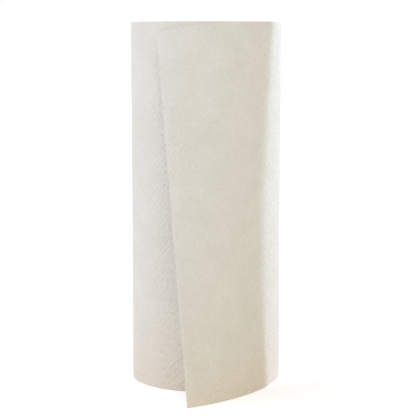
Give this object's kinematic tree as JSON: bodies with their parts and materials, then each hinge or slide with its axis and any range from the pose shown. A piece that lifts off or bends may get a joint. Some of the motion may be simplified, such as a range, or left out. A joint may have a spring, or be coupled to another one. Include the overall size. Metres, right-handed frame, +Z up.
{
  "type": "paper towel roll",
  "caption": "Roll of white embossed kitchen paper towel on a cardboard core, standing on its end, with its loose end swung out at the floor.",
  "frame": {"origin": "centre of the core's bore at the roll's lower end, on the surface that it stands on", "axes": "+Z up along the core, -Y towards the front, where the loose end stands out"},
  "size_m": [0.1172, 0.164, 0.2794],
  "materials": {
    "towel_paper": "soft two-ply paper with a fine embossed dot pattern, warm white, matte",
    "core_card": "spiral-wound brown board, matte"
  },
  "bodies": {
    "root": {"paper_roll": "towel_paper", "core_tube": "core_card"}
  },
  "joints": []
}
